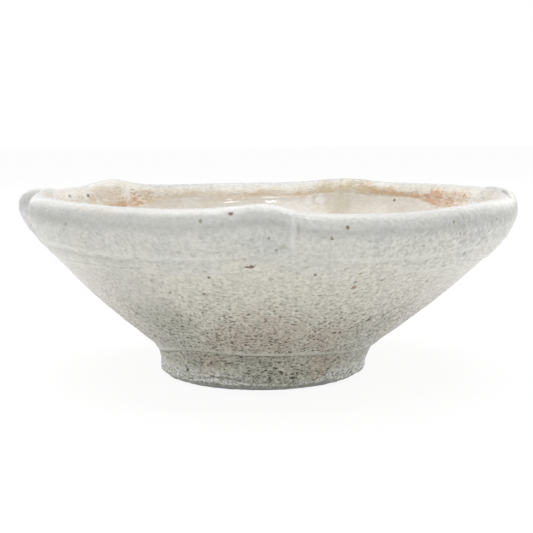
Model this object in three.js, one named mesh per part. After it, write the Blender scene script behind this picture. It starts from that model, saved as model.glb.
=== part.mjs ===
// A hand-pinched stoneware bowl with five petals, on a turned foot ring, glazed inside and out.
// Millimetres, +Z up. The table is z = 0 and -Y is the front.
//
// Each piece is thrown as a round pot, from an outline of (radius, height), and is then pinched
// into petals by one shared rule. A skin of glaze is laid along the same outline points as the
// clay below it, so the two still seat on each other face to face after the pinching.
import * as THREE from "three";

const { clamp, degToRad, lerp, smoothstep } = THREE.MathUtils;

// Overall sizes of the finished, glazed bowl
const bowlHeight = 54; // table to the crest of the lip, between two pinches
const rimRadius = 73.3; // widest outside radius of the round pot, before it is pinched
const rimSetOff = 2.1; // how far the rim's centre stands to the right of the foot's
const wallSetOff = 1.35; // how far the wall half way up bows out to the same side

// Clay
const wallThickness = 4.6; // square to the leaning wall
const wallBelly = 1.2; // how far the wall swells out of a straight cone
const bellyLevel = 0.62; // where it swells most, as a share of the way up the wall
const floorThickness = 7;
const dishDepth = 3.4; // how far the wall's foot stands above the middle of the floor, inside
const dishFillet = 6; // reach of the curve between the two
const lipThickness = 5.6;
const lipHeight = 4.4; // rounded part of the lip
const bandHeight = 13.4; // upright band below the crest, where the wall was turned up
const bandProud = 0.55; // how far the band stands out from the wall below it
const bandLean = 5.8; // how much wider the band is at the lip than at its foot
const bandBend = new THREE.Vector2(0.8, 0.55); // where it curves, as shares of lean and height

// Foot ring
const footHeight = 6.4;
const footRadius = 29.2; // outside, at the table
const footFlare = 1.9; // how much wider the outside is at the joint
const footWidth = 7; // width of the face that stands on the table
const footUndercut = 1.6; // how far the inside leans in from the table to the joint
const footBevel = 0.7;
const navelHeight = 0.9; // turned boss in the middle of the foot's recess
const navelRadius = 7;

// Heel: the hollow curve from the foot ring out to the wall
const heelHeight = 4.6;
const heelReach = 2.9;
const heelBend = new THREE.Vector2(0.25, 0.62); // where it curves, as shares of reach and height

// Glaze
const glazeThickness = 0.8;
const glazeEdge = 0.4; // thickness where a skin runs out
const glazeTaper = 2.5; // length over which it thins to that
const poolThickness = 1.7; // glaze pooled in the middle of the floor
const poolRadius = 24;
const bareFoot = 1.1; // unglazed clay above the table
const overlapDepth = 0.5; // from the foot of the rounded lip, inside, to where the glazes meet

// Pinching. Each petal starts at its own pinch and runs anticlockwise, seen from above, to the next.
// A pinch has its angle in degrees, how far it pushes the wall in (depth), how far down the wall it
// reaches (reach) and how far the lip stands up there (rise). Its groove and its raised lip each have
// a half-width before and after it. Half way along the petal, the lip stands crest above bowlHeight
// and is pushed out by bulge.
const petals = [
  { angle: -91, depth: 2.6, reach: 17, groove: [5.6, 5.6], rise: 1.4, lip: [12, 9], crest: -1.4, bulge: 2.2 },
  { angle: -13, depth: 4.2, reach: 17, groove: [4.2, 4.2], rise: 1.9, lip: [11, 11], crest: 0.8, bulge: 1.6 },
  { angle: 65, depth: 3.4, reach: 17, groove: [5.2, 5.2], rise: 2.0, lip: [9, 16], crest: 0.1, bulge: 2.0 },
  { angle: 142, depth: 3.2, reach: 17, groove: [5.2, 5.2], rise: 3.0, lip: [14, 8], crest: 0.6, bulge: 2.1 },
  { angle: 195, depth: 5.0, reach: 26, groove: [3.8, 11], rise: 2.6, lip: [9, 12], crest: -0.1, bulge: 1.6 },
];
const petalLength = 30; // how far down the wall the petals can be made out

// Fineness of the surfaces
const stepsPerPetal = 16;
const pinchCrowding = 0.55; // how much closer the steps are at a pinch than in mid petal

const point = (radius, height) => new THREE.Vector2(radius, height);
const between = (from, to, share) =>
  point(lerp(from.x, to.x, share.x), lerp(from.y, to.y, share.y));
const circleSteps = petals.length * stepsPerPetal;

// Outlines of the clay

const jointRadius = footRadius + footFlare;
const ringTopRadius = jointRadius - footWidth - footUndercut;
const heelTop = point(jointRadius + heelReach, footHeight + heelHeight);
const lipCrest = bowlHeight - glazeThickness;
const clayRimRadius = rimRadius - glazeThickness;
const bandFoot = point(clayRimRadius - bandLean, lipCrest - bandHeight);
const lipOutside = point(clayRimRadius, lipCrest - lipHeight);
const lipInside = point(clayRimRadius - lipThickness, lipCrest - lipHeight);

// Curve from one point to another that bends towards a third, as the points along it.
function curve(from, bend, to, segments) {
  return new THREE.QuadraticBezierCurve(from, bend, to).getPoints(segments);
}

// Wall of the bowl seen from outside, from the foot joint up to where the lip starts to round.
function outsideOfWall() {
  const joint = point(jointRadius, footHeight);
  const along = bandFoot.clone().sub(heelTop).normalize();
  const out = point(along.y, -along.x);
  const wallTop = bandFoot.clone().sub(along.clone().add(out).multiplyScalar(bandProud));
  const belly = heelTop.clone().lerp(wallTop, bellyLevel).addScaledVector(out, 2 * wallBelly);
  return [
    ...curve(joint, between(joint, heelTop, heelBend), heelTop, 2),
    ...curve(heelTop, belly, wallTop, 4).slice(1),
    ...curve(bandFoot, between(bandFoot, lipOutside, bandBend), lipOutside, 2),
  ];
}

// The lip, as half an ellipse over the crest, from the outside of the wall to the inside.
function lip() {
  const middle = (lipOutside.x + lipInside.x) / 2;
  const arc = new THREE.EllipseCurve(
    middle,
    lipOutside.y,
    lipThickness / 2,
    lipHeight,
    0,
    Math.PI,
  );
  return arc.getPoints(6).slice(1);
}

// Inside of the bowl, from the line where the glazes meet down to the middle of the floor.
function insideOfWall() {
  const levelThickness = (wallThickness * heelTop.distanceTo(bandFoot)) / (bandFoot.y - heelTop.y);
  const bandInside = point(bandFoot.x - levelThickness, bandFoot.y);
  const meetingShare = overlapDepth / (lipInside.y - bandInside.y);
  const meeting = lipInside.clone().lerp(bandInside, meetingShare);
  const floor = point(0, footHeight + floorThickness);
  const wallFoot = point(jointRadius - footWidth / 2, floor.y + dishDepth);
  return [
    ...curve(meeting, between(bandInside, meeting, bandBend), bandInside, 2),
    ...curve(bandInside, bandInside.clone().lerp(wallFoot, 0.5), wallFoot, 2).slice(1),
    ...curve(wallFoot, point(wallFoot.x - dishFillet, floor.y), floor, 4).slice(1),
  ];
}

// Underside of the bowl inside the foot ring, from the middle out to the ring.
function undersideOfFloor() {
  const height = footHeight - navelHeight;
  const navel = curve(
    point(0, height),
    point(navelRadius / 2, height),
    point(navelRadius, footHeight),
    2,
  );
  return [...navel, point(ringTopRadius, footHeight)];
}

// Outside of the foot ring, from its bevel up to the joint.
function outsideOfFoot() {
  const sideAt = (height) => point(footRadius + (footFlare * height) / footHeight, height);
  return [sideAt(footBevel), sideAt(bareFoot), sideAt(footHeight / 2), sideAt(footHeight)];
}

const outside = outsideOfWall();
const inside = insideOfWall();
const overLip = lip();
const footSide = outsideOfFoot();

// Glaze

// The glaze's own surface over a run of clay: each point moves out along the outline's normal,
// by the thickness there.
function surfaceOver(clay, thicknessAt) {
  return clay.map((at, i) => {
    const before = clay[Math.max(i - 1, 0)];
    const after = clay[Math.min(i + 1, clay.length - 1)];
    const along = after.clone().sub(before).normalize();
    const out = point(along.y, -along.x);
    return at.clone().addScaledVector(out, thicknessAt(at, i));
  });
}

// Length along a run of clay from one of its ends to each point.
function lengthsAlong(clay) {
  let length = 0;
  return clay.map((at, i) => (length += i ? at.distanceTo(clay[i - 1]) : 0));
}

// Glaze thickness near an end that thins out.
const thinned = (full, distance) =>
  lerp(glazeEdge, full, smoothstep(distance, 0, glazeTaper));

// Surface of both glazes at the line inside the lip where they meet.
const meetingEdge = point(inside[0].x - glazeEdge, inside[0].y);

// Closed outline of the glaze from the foot up the outside, over the lip and down to that line.
function outerGlazeOutline() {
  const clay = [...footSide.slice(1, -1), ...outside, ...overLip, inside[0]];
  const lengths = lengthsAlong(clay);
  const total = lengths[lengths.length - 1];
  const skin = surfaceOver(clay, (at, i) => thinned(glazeThickness, total - lengths[i]));
  return [...skin.slice(0, -1), meetingEdge, ...clay.reverse()];
}

// Outline of the glaze inside the bowl, from the middle of the floor up to the same line.
function innerGlazeOutline() {
  const lengths = lengthsAlong(inside);
  const thicknessAt = (at, i) => {
    const pool = smoothstep(poolRadius - at.x, 0, poolRadius);
    return thinned(lerp(glazeThickness, poolThickness, pool), lengths[i]);
  };
  const skin = surfaceOver(inside, thicknessAt).slice(1, -1);
  const middle = point(0, inside[inside.length - 1].y + poolThickness);
  return [...inside.slice().reverse(), meetingEdge, ...skin, middle];
}

// Pinching the round pot

// Where a step round the pot falls: its petal, the nearer pinch and the side of it, its share of the
// way along the petal, its angle, and how far off the pinch is round the rim. Steps crowd towards
// the pinches.
function columnAt(step) {
  const number = Math.floor(step / stepsPerPetal) % petals.length;
  const even = (step % stepsPerPetal) / stepsPerPetal;
  const share = even - (pinchCrowding * Math.sin(2 * Math.PI * even)) / (2 * Math.PI);
  const petal = petals[number];
  const next = petals[(number + 1) % petals.length];
  const span = degToRad((next.angle - petal.angle + 360) % 360);
  const side = share < 0.5 ? 1 : 0; // after the petal's own pinch, or before the next one
  return {
    petal,
    pinch: side ? petal : next,
    side,
    share,
    angle: degToRad(petal.angle) + share * span,
    distance: Math.min(share, 1 - share) * span * rimRadius,
  };
}

// Moves a point of the round pot to its place on the pinched one.
function pinched(at, column) {
  const { petal, pinch, side, share, angle, distance } = column;
  const inPetal = smoothstep(at.y, bowlHeight - petalLength, bowlHeight);
  const inGroove = smoothstep(at.y, bowlHeight - pinch.reach, bowlHeight - lipHeight);
  const atPinch = Math.exp(-((distance / pinch.lip[side]) ** 2));
  const groove = pinch.depth * Math.exp(-((distance / pinch.groove[side]) ** 2));
  const lift = lerp(petal.crest, pinch.rise, atPinch);
  const radius = at.x + inPetal * petal.bulge * Math.sin(Math.PI * share) - inGroove * groove;
  const level = clamp(at.y / bowlHeight, 0, 1);
  const shift = rimSetOff * (level - 1) + wallSetOff * 4 * level * (1 - level);
  return new THREE.Vector3(
    radius * Math.cos(angle) + shift,
    radius * Math.sin(angle),
    at.y + inPetal * lift,
  );
}

// Splits every four-cornered facet along the diagonal that climbs away from the nearer pinch. A skin
// and the clay under it are then split alike, whatever the sizes are, and leave no gap.
function splitFacets(geometry, outline) {
  const rows = outline.length;
  const index = [];
  for (let step = 0; step < circleSteps; step++) {
    const { side } = columnAt(step + 0.5);
    for (let row = 0; row < rows - 1; row++) {
      const rise = outline[row + 1].y - outline[row].y || outline[row + 1].x - outline[row].x;
      const climbs = rise > 0 ? 1 : 0;
      const a = step * rows + row;
      const b = a + rows;
      const [c, d] = [b + 1, a + 1];
      const [from, to, left, right] = side === climbs ? [a, c, d, b] : [b, d, a, c];
      index.push(left, from, to, right, to, from);
    }
  }
  geometry.setIndex(index);
}

// Throws an outline into a round pot, then pinches it.
function pinchedPot(outline) {
  const geometry = new THREE.LatheGeometry(outline, circleSteps);
  const positions = geometry.getAttribute("position");
  for (let step = 0; step <= circleSteps; step++) {
    const column = columnAt(step);
    outline.forEach((at, i) => {
      const { x, y, z } = at.x > 0 ? pinched(at, column) : pinched(at, columnAt(0));
      positions.setXYZ(step * outline.length + i, x, y, z);
    });
  }
  splitFacets(geometry, outline);
  geometry.computeVertexNormals();
  return geometry;
}

// Pieces

const clayColour = new THREE.Color(0.55, 0.52, 0.47);
const outerGlazeColour = new THREE.Color(0.82, 0.81, 0.77);
const innerGlazeColour = new THREE.Color(0.86, 0.82, 0.77);

function piece(name, outline, color, roughness) {
  const material = new THREE.MeshStandardMaterial({ color, roughness, metalness: 0 });
  const mesh = new THREE.Mesh(pinchedPot(outline), material);
  mesh.name = name;
  return mesh;
}

// Bowl of clay: floor, wall and pinched lip.
function clayBody() {
  const underside = undersideOfFloor();
  return piece("clay_body", [...underside, ...outside, ...overLip, ...inside], clayColour, 0.9);
}

// Foot ring, luted to the flat underside of the bowl.
function footRing() {
  const innerBottom = footRadius - footWidth;
  const outline = [
    point(innerBottom + footBevel, 0),
    point(footRadius - footBevel, 0),
    ...footSide,
    point(ringTopRadius, footHeight),
    point(innerBottom, footBevel),
  ];
  return piece("foot_ring", [...outline, outline[0]], clayColour, 0.9);
}

// Matt glaze over the outside, the lip and the top of the inside.
function outerGlaze() {
  const outline = outerGlazeOutline();
  return piece("outer_glaze", [...outline, outline[0]], outerGlazeColour, 0.45);
}

// Glossy glaze inside the bowl.
function innerGlaze() {
  return piece("inner_glaze", innerGlazeOutline(), innerGlazeColour, 0.12);
}

const bowl = new THREE.Group();
bowl.add(clayBody(), footRing(), outerGlaze(), innerGlaze());

// The middle of the bowl's outline stands over the origin.
const middle = new THREE.Box3().setFromObject(bowl).getCenter(new THREE.Vector3());
bowl.position.set(-middle.x, -middle.y, 0);

export default bowl;
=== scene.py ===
import math

import bpy
import numpy as np
from mathutils import Matrix, Vector


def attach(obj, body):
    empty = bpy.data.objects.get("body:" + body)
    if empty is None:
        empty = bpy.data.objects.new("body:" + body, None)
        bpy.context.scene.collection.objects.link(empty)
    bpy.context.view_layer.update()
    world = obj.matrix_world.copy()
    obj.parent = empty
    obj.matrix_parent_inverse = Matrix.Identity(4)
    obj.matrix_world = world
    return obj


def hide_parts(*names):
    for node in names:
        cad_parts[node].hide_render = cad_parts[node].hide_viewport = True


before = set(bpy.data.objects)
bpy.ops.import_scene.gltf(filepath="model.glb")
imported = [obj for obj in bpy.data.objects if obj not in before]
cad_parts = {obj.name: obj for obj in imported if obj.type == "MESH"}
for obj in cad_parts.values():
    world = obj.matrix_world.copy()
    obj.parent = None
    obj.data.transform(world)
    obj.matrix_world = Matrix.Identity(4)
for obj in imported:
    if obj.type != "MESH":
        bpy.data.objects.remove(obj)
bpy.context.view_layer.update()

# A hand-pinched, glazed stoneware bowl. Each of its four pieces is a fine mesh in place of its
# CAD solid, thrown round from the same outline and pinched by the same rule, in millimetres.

MM = 0.001
SEED = 11

# Sizes of the bowl, as in the CAD
BOWL_HEIGHT = 54.0
RIM_RADIUS = 73.3
RIM_SET_OFF = 2.1
WALL_SET_OFF = 1.35
WALL = 4.6
WALL_BELLY = 1.2
BELLY_LEVEL = 0.62
FLOOR = 7.0
DISH_DEPTH = 3.4
DISH_FILLET = 6.0
LIP = 5.6
LIP_HEIGHT = 4.4
BAND_HEIGHT = 13.4
BAND_PROUD = 0.55
BAND_LEAN = 5.8
BAND_BEND = (0.8, 0.55)
FOOT_HEIGHT = 6.4
FOOT_RADIUS = 29.2
FOOT_FLARE = 1.9
FOOT_WIDTH = 7.0
FOOT_UNDERCUT = 1.6
FOOT_BEVEL = 0.7
NAVEL_HEIGHT = 0.9
NAVEL_RADIUS = 7.0
HEEL_HEIGHT = 4.6
HEEL_REACH = 2.9
HEEL_BEND = (0.25, 0.62)
GLAZE = 0.8
POOL = 1.7
POOL_RADIUS = 24.0
OVERLAP_DEPTH = 0.5
PETAL_LENGTH = 30.0

# Each petal starts at its own pinch. A pinch has its angle, depth, reach down the wall and rise of
# the lip, with half-widths of its groove and of its raised lip before and after it. The petal has
# the height of its crest and its bulge. A fold is a soft ridge beside the pinch: how far round the
# rim it stands, and its height.
PETAL_KEYS = ("angle", "depth", "reach", "groove", "rise", "lip", "crest", "bulge", "fold")
PETALS = (
    (-91, 2.6, 17, (5.6, 5.6), 1.4, (12, 9), -1.4, 2.2, (6.9, 0.2)),
    (-13, 4.2, 17, (4.2, 4.2), 1.9, (11, 11), 0.8, 1.6, (7.0, 0.2)),
    (65, 3.4, 17, (5.2, 5.2), 2.0, (9, 16), 0.1, 2.0, (-7.5, 0.3)),
    (142, 3.2, 17, (5.2, 5.2), 3.0, (14, 8), 0.6, 2.1, (8.0, 0.25)),
    (195, 5.0, 26, (3.8, 11), 2.6, (9, 12), -0.1, 1.6, (-6.5, 0.2)),
)

# Where the outer glaze stops above the table, how far that edge and the line inside wander, and
# the length over which the edge rolls over into its bead
GLAZE_EDGE = 0.95
EDGE_WANDER = 0.4
LINE_WANDER = 0.45
ROLL = 0.9
BEAD = 0.28
BEAD_UNEVEN = 0.18

# Heights of the unevenness in the pot and of the relief in its glaze, and how far apart the
# turned rings are
SWAY = 0.28
SAG = 0.16
TURNED = 0.045
TURNED_PITCH = 4.6
RIPPLE = 0.04
LEDGE_RIDGE = 0.3
LEDGE_GROOVE = 0.15
HEEL_RIDGE = 0.34
HEEL_GROOVE = 0.38
UNDER_LIP_GROOVE = 0.14
WRINKLE = 0.19
GRIT = 0.06

# Where the line inside runs higher or lower than the CAD's: angle round the rim, length down
LINE_PATH = (
    (0, 1.5), (20, 2.4), (31, 1.8), (39, -0.2), (50, -2.1), (58, -2.3), (68, -1.6), (80, -1.0),
    (95, -0.6), (111, -1.1), (124, -1.3), (133, 2.4), (144, 3.4), (160, 2.6), (200, 0.5),
    (270, 0.0), (330, 0.8), (360, 1.5),
)

# Where the heel's edge and the ledge under the band run higher than the CAD's, in the same way
HEEL_PATH = (
    (0, -1.6), (90, -0.5), (170, -2.5), (200, -3.5), (214, -1.8), (226, 0.8), (238, 2.5),
    (248, 2.5), (256, 1.7), (272, 1.5), (290, 1.0), (300, 0.5), (310, -0.7), (325, -1.4),
    (360, -1.6),
)
LEDGE_PATH = (
    (0, 4.6), (90, 3.0), (180, 4.2), (222, 4.0), (230, 3.0), (256, 2.6), (270, 3.0), (283, 3.7),
    (296, 3.2), (311, 3.8), (320, 4.8), (360, 4.6),
)

# How much higher the near side of the rim stands than the CAD's, by angle in the same way
RIM_LIFT = (
    (0, 0.3), (15, 0), (180, 0), (195, 0.4), (203, 0.8), (210, 1.5), (217, 1.75), (222, 1.35),
    (227, 1.1), (233, 0.9), (238, 0.65), (243, 0.35), (250, 0.2), (258, 0.2), (266, 0), (274, 0.1),
    (282, 0.45), (291, 0.2), (297, 0.05), (302, 0.45), (309, 0.95), (315, 1.4), (322, 1.8),
    (330, 1.8), (338, 1.2), (347, 0.7), (354, 0.4), (360, 0.3),
)

# Fineness: columns round the pot and where they stand closest together, and steps along the
# outline and between rows
COLUMNS = 720
CLOSEST = math.radians(-85)
FINE = 0.15
ROW_STEP = 0.6
DETAIL_STEP = 0.28
HIDDEN_STEP = 2.4


# Outlines, as points of (radius, height)


def curve(start, bend, end, count):
    """Points along a curve from start to end that bends towards a third point."""
    t = np.linspace(0, 1, count + 1)[:, None]
    return (1 - t) ** 2 * start + 2 * t * (1 - t) * bend + t * t * end


def between(start, end, share):
    return start + (end - start) * np.array(share)


def lengths_along(line):
    return np.concatenate([[0], np.cumsum(np.linalg.norm(np.diff(line, axis=0), axis=1))])


def resampled(line, step):
    """The same line with points an even step apart."""
    lengths = lengths_along(line)
    even = np.linspace(0, lengths[-1], max(2, int(round(lengths[-1] / step)) + 1))
    return np.stack([np.interp(even, lengths, line[:, k]) for k in (0, 1)], axis=1)


def softened(line, reach, step):
    """The line with its corners worn round over that reach. Its ends stay."""
    half = max(1, int(round(3 * reach / step)))
    weights = np.exp(-0.5 * (np.arange(-half, half + 1) * step / reach) ** 2)
    weights /= weights.sum()
    before = 2 * line[0] - line[half:0:-1]
    after = 2 * line[-1] - line[-2:-half - 2:-1]
    long = np.concatenate([before, line, after])
    return np.stack([np.convolve(long[:, k], weights, "valid") for k in (0, 1)], axis=1)


def normals_of(line):
    """Unit normals on the right of a line, which is the open side of the outline here."""
    along = np.gradient(line, axis=0)
    along /= np.linalg.norm(along, axis=1)[:, None]
    return np.stack([along[:, 1], -along[:, 0]], axis=1)


def smoothstep(x, low, high):
    t = np.clip((x - low) / (high - low), 0, 1)
    return t * t * (3 - 2 * t)


def hump(x, middle, width):
    """1 at the middle, falling away on both sides."""
    return np.exp(-((x - middle) / width) ** 2)


JOINT_RADIUS = FOOT_RADIUS + FOOT_FLARE
RING_TOP = JOINT_RADIUS - FOOT_WIDTH - FOOT_UNDERCUT
CREST = BOWL_HEIGHT - GLAZE
CLAY_RIM = RIM_RADIUS - GLAZE
JOINT = np.array([JOINT_RADIUS, FOOT_HEIGHT])
HEEL_TOP = JOINT + np.array([HEEL_REACH, HEEL_HEIGHT])
BAND_FOOT = np.array([CLAY_RIM - BAND_LEAN, CREST - BAND_HEIGHT])
LIP_OUTSIDE = np.array([CLAY_RIM, CREST - LIP_HEIGHT])
LIP_INSIDE = np.array([CLAY_RIM - LIP, CREST - LIP_HEIGHT])
WALL_LENGTH = np.linalg.norm(BAND_FOOT - HEEL_TOP)
BAND_INSIDE = BAND_FOOT - np.array([WALL * WALL_LENGTH / (BAND_FOOT - HEEL_TOP)[1], 0])
MEETING_SHARE = OVERLAP_DEPTH / (LIP_INSIDE - BAND_INSIDE)[1]
MEETING = LIP_INSIDE + (BAND_INSIDE - LIP_INSIDE) * MEETING_SHARE
FLOOR_MIDDLE = np.array([0, FOOT_HEIGHT + FLOOR])
WALL_FOOT = np.array([JOINT_RADIUS - FOOT_WIDTH / 2, FLOOR_MIDDLE[1] + DISH_DEPTH])


def foot_side_at(height):
    return np.array([FOOT_RADIUS + FOOT_FLARE * height / FOOT_HEIGHT, height])


def glazed_clay():
    """The clay from the table up the foot and the wall, over the lip and down to the floor's
    middle."""
    along = (BAND_FOOT - HEEL_TOP) / WALL_LENGTH
    out = np.array([along[1], -along[0]])
    wall_top = BAND_FOOT - (along + out) * BAND_PROUD
    belly = HEEL_TOP + (wall_top - HEEL_TOP) * BELLY_LEVEL + out * 2 * WALL_BELLY
    turn = np.linspace(0, math.pi, 40)[1:, None]
    middle = (LIP_OUTSIDE + LIP_INSIDE) / 2
    dish = np.array([WALL_FOOT[0] - DISH_FILLET, FLOOR_MIDDLE[1]])
    lip = middle + np.hstack([np.cos(turn) * LIP / 2, np.sin(turn) * LIP_HEIGHT])
    outside = np.concatenate([
        [foot_side_at(0)],
        curve(JOINT, between(JOINT, HEEL_TOP, HEEL_BEND), HEEL_TOP, 12),
        curve(HEEL_TOP, belly, wall_top, 40)[1:],
        curve(BAND_FOOT, between(BAND_FOOT, LIP_OUTSIDE, BAND_BEND), LIP_OUTSIDE, 12),
        lip,
    ])
    inside = np.concatenate([
        curve(MEETING, between(BAND_INSIDE, MEETING, BAND_BEND), BAND_INSIDE, 12),
        [WALL_FOOT],
        curve(WALL_FOOT, dish, FLOOR_MIDDLE, 20)[1:],
    ])
    outside = softened(resampled(outside, FINE), 0.42, FINE)
    inside = softened(resampled(inside, FINE), 1.6, FINE)
    line = softened(resampled(np.concatenate([outside, inside]), FINE), 0.3, FINE)
    line[-1] = FLOOR_MIDDLE
    return line


CLAY = glazed_clay()
CLAY_NORMALS = normals_of(CLAY)
LENGTHS = lengths_along(CLAY)


def length_to(place):
    return LENGTHS[np.argmin(np.linalg.norm(CLAY - place, axis=1))]


TO_JOINT = length_to(JOINT)
TO_HEEL = length_to(HEEL_TOP)
TO_BAND = length_to(BAND_FOOT)
TO_CREST = LENGTHS[np.argmax(CLAY[:, 1])]
TO_LINE = length_to(MEETING)
TO_MIDDLE = LENGTHS[-1]


# Pinching

STARTS = np.radians([petal[0] for petal in PETALS])


def columns_at(angles):
    """What stands at each angle, in radians, as columns beside the rows: its petal's crest and
    bulge, its share of the petal, what the nearer pinch does there, and how far past the pinch it
    is, anticlockwise round the rim."""
    turns = (angles[:, None] - STARTS) % (2 * math.pi)
    number = np.argmin(turns, axis=1)
    after = (number + 1) % len(PETALS)
    span = (STARTS[after] - STARTS[number]) % (2 * math.pi)
    share = turns[np.arange(len(number)), number] / span
    past = share < 0.5
    pinch = np.where(past, number, after)
    values = {key: np.array(column, float) for key, column in zip(PETAL_KEYS, zip(*PETALS))}
    columns = {key: values[key][number] for key in ("crest", "bulge")}
    columns.update({key: values[key][pinch] for key in ("depth", "reach", "rise")})
    columns.update({key: values[key][pinch, past.astype(int)] for key in ("groove", "lip")})
    columns["fold_at"], columns["fold_height"] = values["fold"][pinch].T
    columns["share"] = share
    columns["past"] = np.where(past, share, share - 1) * span * RIM_RADIUS
    return {key: column[:, None] for key, column in columns.items()}


def pinched(radius, height, angles):
    """Places on the pinched pot of points of the round one, as columns by rows by three."""
    column = columns_at(angles)
    in_petal = smoothstep(height, BOWL_HEIGHT - PETAL_LENGTH, BOWL_HEIGHT)
    in_groove = smoothstep(height, BOWL_HEIGHT - column["reach"], BOWL_HEIGHT - LIP_HEIGHT)
    groove = column["depth"] * hump(column["past"], 0, column["groove"])
    at_pinch = hump(column["past"], 0, column["lip"])
    lift = column["crest"] + (column["rise"] - column["crest"]) * at_pinch
    bulge = column["bulge"] * np.sin(math.pi * column["share"])
    reach = np.where(radius > 0, radius + in_petal * bulge - in_groove * groove, 0)
    level = np.clip(height / BOWL_HEIGHT, 0, 1)
    shift = RIM_SET_OFF * (level - 1) + WALL_SET_OFF * 4 * level * (1 - level)
    angle = angles[:, None]
    places = (reach * np.cos(angle) + shift, reach * np.sin(angle), height + in_petal * lift)
    return np.stack(np.broadcast_arrays(*places), axis=2)


def centre_of_skin():
    """Middle of the glazed bowl's outline, seen from above. It stands over the origin."""
    skin = CLAY + CLAY_NORMALS * GLAZE
    turned = np.linspace(0, 2 * math.pi, 721)
    flat = pinched(skin[None, :, 0], skin[None, :, 1], turned).reshape(-1, 3)
    middle = (flat.min(axis=0) + flat.max(axis=0)) / 2
    return np.array([middle[0], middle[1], 0])


CENTRE = centre_of_skin()


# Unevenness that hands, the wheel and the kiln leave


def noise(points, cell, seed):
    """Smooth noise between -1 and 1, with lumps about a cell across."""
    lattice = np.random.default_rng(seed).uniform(-1, 1, (32, 32, 32))
    place = points / cell
    corner = np.floor(place).astype(int)
    part = place - corner
    part = part * part * (3 - 2 * part)
    total = np.zeros(points.shape[:-1])
    for step in np.ndindex(2, 2, 2):
        weight = np.ones(points.shape[:-1])
        index = []
        for axis, move in enumerate(step):
            weight = weight * (part[..., axis] if move else 1 - part[..., axis])
            index.append((corner[..., axis] + move) % 32)
        total += weight * lattice[tuple(index)]
    return total


def noise_around(angles, cell, seed):
    """Noise along a circle of the foot's size, as a column beside the rows."""
    ring = np.stack([np.cos(angles), np.sin(angles), np.zeros(len(angles))], axis=1)
    return noise(ring * FOOT_RADIUS, cell, seed)[:, None]


def rim_lift(points):
    """How much the rim is lifted at each place, with its path's corners worn round."""
    spread = hump(np.arange(-15, 16), 0, 5.5)
    lifts = np.interp(np.arange(-15, 376), *zip(*RIM_LIFT), period=360)
    lifts = np.convolve(lifts, spread / spread.sum(), "valid")
    turn = np.degrees(np.arctan2(points[..., 1], points[..., 0])) % 360
    return np.interp(turn, np.arange(361), lifts) * smoothstep(points[..., 2], 38, 52)


def out_of_true(points):
    """The points moved as the whole pot sagged and swelled. All its pieces move together."""
    outward = points * np.array([1, 1, 0])
    outward = outward / np.maximum(np.linalg.norm(outward, axis=-1), 1)[..., None]
    above = smoothstep(points[..., 2], 2, 20)
    sway = SWAY * noise(points, 24, SEED) + 0.12 * noise(points, 9, SEED + 1)
    points = points + outward * (sway * above)[..., None]
    points[..., 2] += SAG * above * noise(points, 19, SEED + 2) + rim_lift(points)
    return points


def placed(radius, height, angles):
    """Where points of the round pot come to lie in the finished bowl."""
    return out_of_true(pinched(radius, height, angles) - CENTRE)


def grid_normals(points):
    """Unit normals of a grid of columns by rows, on the open side of its outline."""
    along = np.gradient(points, axis=1)
    around = np.roll(points, -1, axis=0) - np.roll(points, 1, axis=0)
    normal = np.cross(around, along)
    length = np.linalg.norm(normal, axis=2)
    length[length == 0] = 1
    return normal / length[..., None]


def clay_at(lengths, angles, thickness):
    """Places over the clay, a thickness of glaze above it. lengths and thickness are columns by
    rows."""
    radius, height, across, up = (
        np.interp(lengths, LENGTHS, values)
        for values in (CLAY[:, 0], CLAY[:, 1], CLAY_NORMALS[:, 0], CLAY_NORMALS[:, 1])
    )
    return placed(radius + across * thickness, height + up * thickness, angles)


# The skin of glaze


def angles_round(columns):
    """Angles round the pot. They stand closest together at the front pinch."""
    turn = np.arange(columns) * 2 * math.pi / columns
    return (turn + CLOSEST - 0.5 * np.sin(turn)) % (2 * math.pi)


def along_path(path, angles):
    """What a path says at each angle, as a column beside the rows."""
    return np.interp(np.degrees(angles), *zip(*path))[:, None]


ANGLES = angles_round(COLUMNS)


def wander(cell, fine_cell, fine_share, seed):
    """Noise at each column, with a share of finer noise on it."""
    return noise_around(ANGLES, cell, seed) + fine_share * noise_around(ANGLES, fine_cell, seed + 1)


EDGES = GLAZE_EDGE + EDGE_WANDER * wander(9, 3, 0.6, SEED + 5)
LINES = TO_LINE + LINE_WANDER * wander(7, 2.2, 0.5, SEED + 7) + along_path(LINE_PATH, ANGLES)


def row_lengths():
    """Lengths of the skin's rows from its edge at the foot to the floor's middle, before the edge
    and the line wander, and the number of the row at the line. Rows are closest where the glaze
    rolls, at the ridges and at the line."""
    busy = ((GLAZE_EDGE, 5), (TO_HEEL, 5), (TO_BAND + 2, 5), (TO_LINE, 2))
    rows = [GLAZE_EDGE]
    while rows[-1] < TO_MIDDLE:
        near = any(abs(rows[-1] - at) < reach for at, reach in busy)
        rows.append(rows[-1] + (DETAIL_STEP if near else ROW_STEP))
    rows = np.array(rows[:-1])
    rolled = GLAZE_EDGE + np.array([0.03, 0.08, 0.16])
    rows = np.sort(np.concatenate([rows, rolled, [TO_MIDDLE]]))
    line_row = int(np.argmin(np.abs(rows - TO_LINE)))
    rows[line_row] = TO_LINE
    return rows, line_row


ROWS, LINE_ROW = row_lengths()


def wandering_lengths():
    """Length along the clay of every point of the skin, columns by rows."""
    edge = (EDGES - GLAZE_EDGE) * np.exp(-(ROWS - GLAZE_EDGE) / 2.5)
    line = (LINES - TO_LINE) * hump(ROWS, TO_LINE, 7)
    return ROWS + edge + line


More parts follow.
